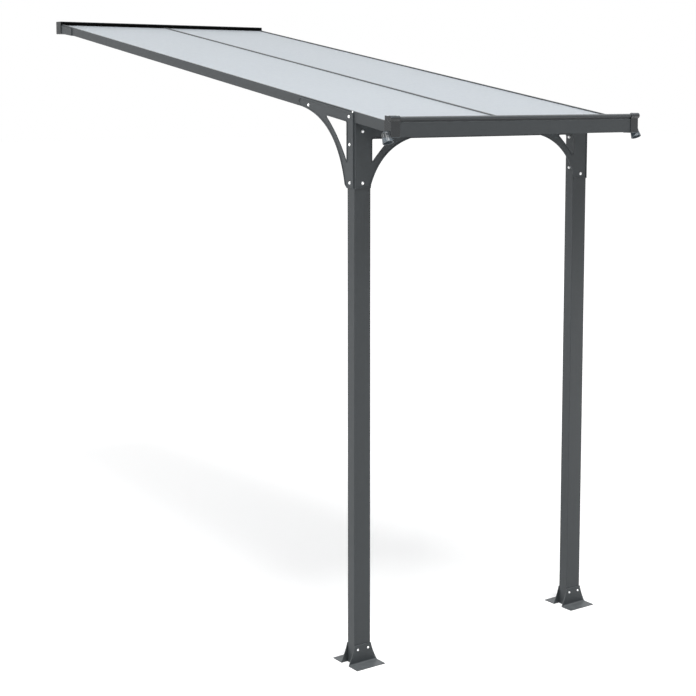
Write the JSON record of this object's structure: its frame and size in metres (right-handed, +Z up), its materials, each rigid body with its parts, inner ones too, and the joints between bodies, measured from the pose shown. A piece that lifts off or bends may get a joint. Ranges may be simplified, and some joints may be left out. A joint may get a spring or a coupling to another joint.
{
  "type": "patio cover",
  "caption": "Lean-to patio cover: wall rail, sloping rafters with translucent roof sheets, gutter with end spouts, box posts with arc brackets and flanged feet.",
  "frame": {"origin": "centre of the wall rail's flat back face, the face that lies on the wall", "axes": "+X along the wall, +Y into the wall so the roof runs to -Y, +Z up; the feet stand on the ground at z = -2.656 m"},
  "size_m": [1.364, 3.037, 2.689],
  "materials": {
    "frame_paint": "satin powder coat, anthracite grey, on extruded aluminium",
    "bracket_paint": "satin powder coat on pressed steel",
    "moulded_plastic": "grey moulded plastic, slightly glossy",
    "black_rubber": "matt black",
    "roof_sheet": "pale translucent ribbed plastic sheet"
  },
  "bodies": {
    "root": {"wall_rail": "frame_paint", "wall_rail_cap_left": "frame_paint", "wall_rail_cap_right": "frame_paint", "side_rafter_left": "frame_paint", "side_rafter_right": "frame_paint", "middle_rafter": "frame_paint", "middle_cap_bar": "frame_paint", "post_left": "frame_paint", "post_right": "frame_paint", "front_beam": "frame_paint", "gutter": "frame_paint", "rafter_shoe_left": "frame_paint", "rafter_shoe_middle": "frame_paint", "rafter_shoe_right": "frame_paint", "side_bracket_left": "bracket_paint", "side_bracket_right": "bracket_paint", "front_bracket_left": "bracket_paint", "front_bracket_right": "bracket_paint", "foot_bracket_left_front": "bracket_paint", "foot_bracket_left_back": "bracket_paint", "foot_bracket_right_front": "bracket_paint", "foot_bracket_right_back": "bracket_paint", "gutter_end_left": "moulded_plastic", "gutter_end_right": "moulded_plastic", "wall_rail_seal": "black_rubber", "roof_sheet_left": "roof_sheet", "roof_sheet_right": "roof_sheet"}
  },
  "joints": []
}
